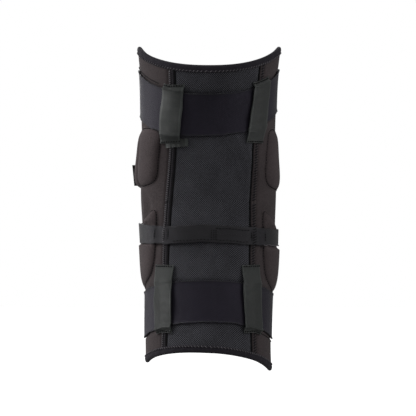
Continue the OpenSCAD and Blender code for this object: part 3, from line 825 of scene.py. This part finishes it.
def climb(angle):
    """The narrow strap lies on the mesh and climbs over the lower pads."""
    side = np.abs(angle - 90)
    t = np.clip(np.minimum((side - MID_BARE) / MID_CLIMB, (MID_ENDS - side) / MID_DROP), 0, 1)
    return MID_LOW + MID_RISE * t * t * (3 - 2 * t)


def narrow_strap():
    angles = np.linspace(FRONT_LATERAL + 1, FRONT_MEDIAL - 1, 126)
    strap = band("mid_strap", angles, *MID_STRAP, lambda a, v: climb(a),
                 lambda a, v: climb(a) + MID_T, MAT["narrow"], "lower", rows=9, waves=mid_waves,
                 nodes=["mid_strap"], slot="narrow_elastic")

    def row(start, end, share, pitch, length):
        a = np.linspace(start, end, 120)
        z = ring_z(MID_STRAP[0], a) * (1 - share) + ring_z(MID_STRAP[1], a) * share
        return dashes(line_at(a, z + mid_waves(a, share), climb(a) + MID_T + 0.05), pitch, length)

    joined = np.linspace(-38, -25.5, 12)
    black = [row(94, 124, 0.82, 3.2, 2.2), row(62, 91, 0.15, 3.4, 2.2), row(94, 124, 0.15, 3.4, 2.2)]
    for at in (91.4, 93, 94.4):
        black.append(dashes(line_at(at, joined, 2.2), 2.2, 1.6))
    selvage = row(138, 208, 0.02, 1.2, 1.0)
    for name, rows, thread, radius in (("black", black, "black_thread", 0.32),
                                       ("grey", [row(95, 122, 0.5, 2.6, 1.4)], "thread", 0.3),
                                       ("selvage", [selvage], "pale_thread", 0.4)):
        threads(f"mid_strap_{name}_stitches",
                                np.concatenate([start for start, _ in rows]),
                                np.concatenate([end for _, end in rows]), MAT[thread], "lower",
                                radius=radius, slot="bartack_thread")


narrow_strap()


def webbing_loop(body, side, foot_angle, head_angle, foot, head, strap):
    """Tape sewn down at both ends and pulled over the strap, a little wavy. Its ends are cut
    along the strap's edges where they come near them."""
    v, full_v = lipped(40, head - foot, 0.6)
    u, full_u = lipped(11, 2 * WEB_HALF, 0.6)
    share, across = v[:, None], 2 * u[None, :] - 1
    seed = foot_angle + foot * 0.3
    rough = foot + (head - foot) * share
    half = WEB_HALF + 0.3 * np.sin(rough / 6.5 + seed) + 0.12 * np.sin(rough / 2.9 + seed * 2)
    shift = across * half + 0.6 * np.sin(rough / 17 + seed)
    angle = foot_angle + (head_angle - foot_angle) * share + degrees_for(shift, rough)
    low, top = ring_z(strap[0], angle), ring_z(strap[1], angle)
    foot_z = np.minimum(foot, low - LOOP_PAST)
    head_z = np.maximum(head, top + LOOP_PAST)
    z = foot_z + (head_z - foot_z) * share
    from_foot = (z - foot_z - LOOP_SEAM) / (low - LOOP_CLEAR - foot_z - LOOP_SEAM)
    from_head = (head_z - LOOP_SEAM - z) / (head_z - LOOP_SEAM - top - LOOP_CLEAR)
    rise = np.clip(np.minimum(from_foot, from_head), 0, 1)
    slack = 0.8 * np.sin(np.pi * np.clip((z - low) / (top - low), 0, 1))
    curled = 0.5 * across**2 * np.sin(z / 6 + seed)
    out = LOOP_SEWN + (LOOP_OVER - LOOP_SEWN + slack + curled) * rise
    half_t = WEB_T / 2 * full_v[:, None] * full_u[None, :]
    tape = skin(f"{body}_{side}_loop", on_leg(angle, z, out + WEB_T / 2 + half_t),
                on_leg(angle, z, out + WEB_T / 2 - half_t), MAT["webbing"], zone_of(body),
                nodes=[f"{body}_{side}_loop"], slot="webbing")
    starts, ends = [], []
    reach = np.arange(-WEB_HALF + 1, WEB_HALF - 1.8, 2.5)
    for base, inset in ((foot_angle, 1.3), (head_angle, -1.3)):
        row = []
        for across_tape in (reach, reach + 1.7):
            a = base + degrees_for(across_tape, foot if inset > 0 else head)
            low, top = ring_z(strap[0], a), ring_z(strap[1], a)
            at = np.minimum(foot, low - LOOP_PAST) if inset > 0 else np.maximum(head, top + LOOP_PAST)
            row.append(line_at(a, at + inset, LOOP_SEWN + WEB_T + 0.1))
        starts.append(row[0])
        ends.append(row[1])
    tacks = threads(f"{body}_{side}_bartacks", np.concatenate(starts), np.concatenate(ends),
                    MAT["black_thread"], zone_of(body), radius=0.55, nodes=[f"{body}_bartacks"],
                    slot="bartack_thread")


def loop_tail():
    """The cut end of the outer thigh loop, which is caught under its foot and shows beside it."""
    angle = np.linspace(55, 75.5, 20)[None, :]
    z = np.linspace(52.6, 60.2, 7)[:, None] + 0.06 * (angle - 65)
    wave = 0.3 * np.sin(angle * 1.3)
    tail = skin("thigh_lateral_loop_tail", on_leg(angle, z + wave, 1.5),
                on_leg(angle, z + wave, 0.3), MAT["webbing"], "upper", slot="webbing")


loop_tail()
for row in LOOPS:
    webbing_loop(*row)


# ---- pads


def closed_curve(corners, count):
    """A smooth closed line through corner points."""
    p = np.asarray(corners, float)
    k = np.arange(count) * len(p) / count
    i = k.astype(int)
    t = (k - i)[:, None]
    a, b, c, d = (p[(i + j) % len(p)] for j in (-1, 0, 1, 2))
    return b + 0.5 * t * (c - a + t * (2 * a - 5 * b + 4 * c - d + t * (3 * (b - c) + d - a)))


def crowned_pad(name, corners, crown, zone, nodes, material="pad", lean=0.0,
                slot="side_knit", press=False):
    """Foam under the cloth: a crown inside a stitched groove, with a flat flange outside it."""
    line = closed_curve(corners, 96)
    centre = line.mean(0)
    share = np.concatenate([np.linspace(0.04, 0.8, 13), np.linspace(0.84, 0.985, 8),
                            [1.0, 1.02, 1.035, 1.06]])
    place = centre + (line - centre)[None] * share[:, None, None]
    angle, z = place[..., 0], place[..., 1]
    r = np.minimum(share, 1)[:, None]
    dome = (1 - r**5) ** 0.75
    tilt = 1 + lean * (centre[1] - z) / 30
    out = 0.5 + (crown - 0.5) * dome * tilt
    flange = np.array([0.12, 0.12, 0.55, 0.15])[:, None]
    out[-4:] = flange
    if press:
        middle = (ring_z(MID_STRAP[0], angle) + ring_z(MID_STRAP[1], angle)) / 2
        beyond = np.maximum(np.abs(z - middle) - PRESS_REACH, 0)
        out = np.minimum(out, climb(angle) - PRESS_UNDER + PRESS_SLOPE * beyond)
    outer = on_leg(angle, z, out)
    inner = on_leg(angle, z, 0.05)
    top = on_leg(centre[0], centre[1], out[0].mean())[None]
    low = on_leg(centre[0], centre[1], 0.05)[None]
    rings, n = outer.shape[:2]
    ids = np.arange(rings * n).reshape(rings, n)
    nxt = np.roll(ids, -1, 1)
    total = rings * n
    turn = np.sign(np.cross(line[1] - centre, line[12] - centre))
    body_quads = np.stack([ids[:-1], ids[1:], nxt[1:], nxt[:-1]], -1).reshape(-1, 4)
    rim_quads = np.stack([ids[-1], ids[-1] + total, nxt[-1] + total, nxt[-1]], -1)
    fan = np.stack([np.full(n, 2 * total), ids[0], nxt[0]], -1)
    fan_low = np.stack([np.full(n, 2 * total + 1), nxt[0] + total, ids[0] + total], -1)
    faces = [*body_quads.tolist(), *(body_quads[:, ::-1] + total).tolist(), *rim_quads.tolist(),
             *fan.tolist(), *fan_low.tolist()]
    if turn < 0:
        faces = [f[::-1] for f in faces]
    points = np.concatenate([outer.reshape(-1, 3), inner.reshape(-1, 3), top, low])
    rings_flat = np.stack([angle * ARC, z], -1).reshape(-1, 2)
    flat = np.concatenate([rings_flat] * 2 + [[[centre[0] * ARC, centre[1]]]] * 2)
    uv = np.concatenate([flat[f] for f in faces])
    pad = make(name, points, faces, uv, MAT[material], zone, nodes=nodes, slot=slot)
    ring = centre + (line - centre) * 1.01
    ring = np.concatenate([ring, ring[:1]])
    behind = np.abs(ring[:, 0] - 90) < 52
    sewn = 0.3 + behind * over_mid_strap(ring[:, 1], ring[:, 0]) * (climb(ring[:, 0]) + 1) / SEAM_LIFT
    starts, ends = dashes(np.column_stack([ring, sewn]), 2.7, 2.0)
    threads(f"{name}_stitches", starts, ends, MAT["black_thread"], zone, radius=0.5, rise=0.15,
            slot="bartack_thread")


for name, corners in PAD_OUTLINES.items():
    zone = "upper" if name.startswith("upper") else "lower"
    crowned_pad(name, corners, PAD_CROWN[name], zone, [name], lean=PAD_TILT.get(name, 0),
                press=zone == "lower")
crowned_pad("upper_lateral_wing", WING_OUTLINE, 7.2, "upper", ["upper_lateral_pad"], lean=0.4)


def rectangle(a0, a1, z0, z1):
    """The corner points of a soft rectangle in angle and height."""
    am, zm = (a0 + a1) / 2, (z0 + z1) / 2
    da, dz = (a1 - a0) / 2, (z1 - z0) / 2
    t = np.radians(np.arange(0, 360, 22.5))
    squareness = 0.5
    across, up = curl(np.cos(t), squareness), curl(np.sin(t), squareness)
    return np.column_stack([am + da * across, zm + dz * up])


for name, (zone, a0, a1, z0, z1, crown) in FRONT_PADS.items():
    crowned_pad(name, rectangle(a0, a1, z0, z1), crown, zone, [name], material="front",
                slot="cover_knit")


def kneecap_cup():
    """The kneecap's cover in an upper and a lower half, which meet in a sewn channel."""
    a0, a1, z0, z1 = CUP
    for half, zone, v0, v1 in (("upper", "cup_upper", 0.0, 1.0), ("lower", "cup_lower", -1.0, 0.0)):
        reach = z1 if half == "upper" else -z0
        u = np.linspace(-1, 1, 61)[None, :]
        v = np.linspace(v0, v1, 31)[:, None]
        angle = (a0 + a1) / 2 + (a1 - a0) / 2 * u * np.sqrt(1 - 0.32 * v * v)
        z = reach * v * np.sqrt(1 - 0.32 * u * u)
        dome = ((1 - u**4) * (1 - v**4)) ** 0.6
        out = 1.4 + (CUP_CROWN - 1.4) * dome
        channels = [0.0, 0.46, -0.46]
        for c in channels:
            out = out - 2.0 * np.exp(-((v - c + 0.05 * u * u * np.sign(c)) / 0.035) ** 2) * dome
        for c in (-0.62, 0.62):
            out = out - 1.6 * np.exp(-((u - c * (1 - 0.12 * v * v)) / 0.028) ** 2) * dome
        nodes = ["knee_cup_cover"] + (["knee_foam_cup"] if half == "upper" else [])
        cover = skin(f"kneecap_cover_{half}", on_leg(angle, z, out), on_leg(angle, z, 0.4),
                     MAT["front"], zone, nodes=nodes, slot="cover_knit")


kneecap_cup()


# ---- strap ends and label


def strap_end(body, ring):
    """The landing patch, the sewn anchor, and the tab with its hooks and thumb pull."""
    low_ring, top_ring = ring
    lowered = tuple(h - 2 for h in low_ring)
    raised = tuple(h + 2 for h in top_ring)
    top = STRAP_LOW + STRAP_T + 0.2
    inset = (tuple(h + 2.5 for h in low_ring), tuple(h - 2.5 for h in top_ring))
    whole = (lowered, raised)
    # What each band is, its angles, its rings, its inner and outer face, how many columns it
    # has, its material, slot and body, and what it lies on
    bands = [
        ("landing_patch", (PULL_END - 1, FRONT_LATERAL - 1), whole, 0.1, 0.9, 20, "pile",
         "loop_pile", zone_of(body), f"front_panel_{zone_of(body)}"),
        ("strap_anchor", (STRAP_ENDS[1] - 9, STRAP_ENDS[1] + 3), whole, top, top + 0.9, 8, "front",
         "cover_knit", zone_of(body), f"{body}_strap"),
        ("strap_tab", TAB_SPAN, ring, TAB_LOW, TAB_LOW + STRAP_T, 20, "elastic", "wide_elastic",
         f"{body}_tab", f"{body}_landing_patch"),
        ("hook_patch", (TAB_SPAN[0] + 1, FRONT_LATERAL - 2), inset, 1.3, TAB_LOW - 0.1, 12, "hook",
         "hook", f"{body}_tab", f"{body}_landing_patch"),
    ]
    for part, span, rings, low, high, columns, material, slot, zone, under in bands:
        piece = band(f"{body}_{part}", np.linspace(*span, columns), *rings,
                     lambda a, v, out=low: out + 0 * a, lambda a, v, out=high: out + 0 * a,
                     MAT[material], zone, nodes=[f"{body}_{part}"], slot=slot)

    def step(a):
        """How far the fold has risen from the strap to the tab."""
        return (TAB_LOW - STRAP_LOW) * np.clip((FOLD[0] - a) / (FOLD[0] - FOLD[1]), 0, 1)

    band(f"{body}_tab_fold", np.linspace(-20.4, -24.6, 14), low_ring, top_ring,
         lambda a, v: STRAP_LOW - 0.05 + step(a), lambda a, v: STRAP_LOW + STRAP_T + 0.1 + step(a),
         MAT["elastic"], f"{body}_fold", rows=18, slot="wide_elastic")
    z = np.linspace(0.06, 0.94, 40)
    for k, at in enumerate((STRAP_ENDS[0] + 3, STRAP_ENDS[0] + 4.8)):
        edge_low, edge_top = ring_z(low_ring, at), ring_z(top_ring, at)
        line = line_at(at, edge_low + (edge_top - edge_low) * z, STRAP_LOW + STRAP_T + 0.05)
        threads(f"{body}_tab_joining_stitches_{k + 1}", *dashes(line, 2.6, 1.9),
                MAT["black_thread"], zone_of(body), radius=0.35, rise=0.1, slot="bartack_thread")
    u = np.linspace(0, 1, 24)[None, :]
    v = np.linspace(0, 1, 15)[:, None]
    angle = PULL_END + (TAB_SPAN[0] + 3 - PULL_END) * u + 0 * v
    narrow = 4 + 10 * (1 - u) ** 1.5
    z = (ring_z(low_ring, angle) + narrow) * (1 - v) + (ring_z(top_ring, angle) - narrow) * v
    ribs = 0.45 * (0.5 + 0.5 * np.cos(u * 2 * np.pi * 5)) * np.clip(1 - u * 1.2, 0, 1)
    rounded = (1 - np.abs(2 * v - 1) ** 8) * (1 - (1 - u) ** 12)
    out = TAB_LOW + 0.2 + (STRAP_T + 0.9 + ribs) * (0.3 + 0.7 * rounded)
    skin(f"{body}_tab_pull", on_leg(angle, z, out), on_leg(angle, z, TAB_LOW - 0.1),
         MAT["pull"], f"{body}_tab", nodes=[f"{body}_tab_pull"], slot="thumb_pull")


strap_end("thigh", THIGH_STRAP)
strap_end("calf", CALF_STRAP)


def side_label():
    """A folded woven tag that stands out from the side in front of the upper pad."""
    out = np.linspace(0.5, 12.5, 8)[None, :]
    z = np.linspace(16.5, 38, 12)[:, None]
    slant = (z - 27) * 0.12
    face = on_leg(-15, z, out + slant)
    back = on_leg(-15.9, z, out + slant)
    tag = skin("side_label", back, face, MAT["label"], "upper", nodes=["side_label"], slot="label")


side_label()


# ---- stage, light and camera


def stage():
    world = bpy.data.worlds.new("studio")
    bpy.context.scene.world = world
    world.use_nodes = True
    nodes, links = world.node_tree.nodes, world.node_tree.links
    nodes.clear()
    seen = nodes.new("ShaderNodeBackground")
    seen.inputs["Strength"].default_value = 1.0
    soft = nodes.new("ShaderNodeBackground")
    soft.inputs["Strength"].default_value = 0.3
    pick = nodes.new("ShaderNodeMixShader")
    path = nodes.new("ShaderNodeLightPath")
    output = nodes.new("ShaderNodeOutputWorld")
    for background in (seen, soft):
        background.inputs["Color"].default_value = (1, 1, 1, 1)
    links.new(path.outputs["Is Camera Ray"], pick.inputs[0])
    links.new(soft.outputs[0], pick.inputs[1])
    links.new(seen.outputs[0], pick.inputs[2])
    links.new(pick.outputs[0], output.inputs[0])

    floor = bpy.data.meshes.new("floor")
    size, height = 6.0, -0.6
    floor.from_pydata([(-size, -size, height), (size, -size, height), (size, size, height),
                       (-size, size, height)], [], [(0, 1, 2, 3)])
    white = bpy.data.materials.new("pale_floor")
    white.use_nodes = True
    shader = white.node_tree.nodes["Principled BSDF"]
    shader.inputs["Base Color"].default_value = (0.9, 0.9, 0.9, 1)
    shader.inputs["Roughness"].default_value = 0.9
    shader.inputs["Emission Color"].default_value = (1, 1, 1, 1)
    shader.inputs["Emission Strength"].default_value = 0.9
    floor.materials.append(white)
    plane = bpy.data.objects.new("floor", floor)
    plane.visible_diffuse = False
    plane.visible_glossy = False
    bpy.context.scene.collection.objects.link(plane)


def lamp(name, place, aim, size, power, shine=1.0):
    data = bpy.data.lights.new(name, "AREA")
    data.specular_factor = shine
    data.size = size
    data.energy = power
    obj = bpy.data.objects.new(name, data)
    bpy.context.scene.collection.objects.link(obj)
    point(obj, place, aim)


def point(obj, place, aim):
    obj.location = place
    obj.rotation_euler = (Vector(aim) - Vector(place)).to_track_quat("-Z", "Y").to_euler()


def camera():
    data = bpy.data.cameras.new("camera")
    data.sensor_width = 36
    data.lens = 106
    data.dof.use_dof = False
    obj = bpy.data.objects.new("camera", data)
    bpy.context.scene.collection.objects.link(obj)
    point(obj, (0.0007, 1.25, -0.0065), (0.0007, 0, -0.0065))
    bpy.context.scene.camera = obj


stage()
lamp("key", (1.35, 0.2, 1.0), (0, 0, 0), 0.8, 21, 2.0)
lamp("rim", (1.5, -0.45, -0.1), (0, 0, 0), 0.7, 7, 2.0)
lamp("fill", (-1.3, 0.7, 0.7), (0, 0, 0), 0.8, 8.5, 0.3)
lamp("front", (0.4, -1.6, 0.8), (0, 0, 0), 1.2, 12)
camera()
bpy.context.scene.view_settings.view_transform = "Standard"
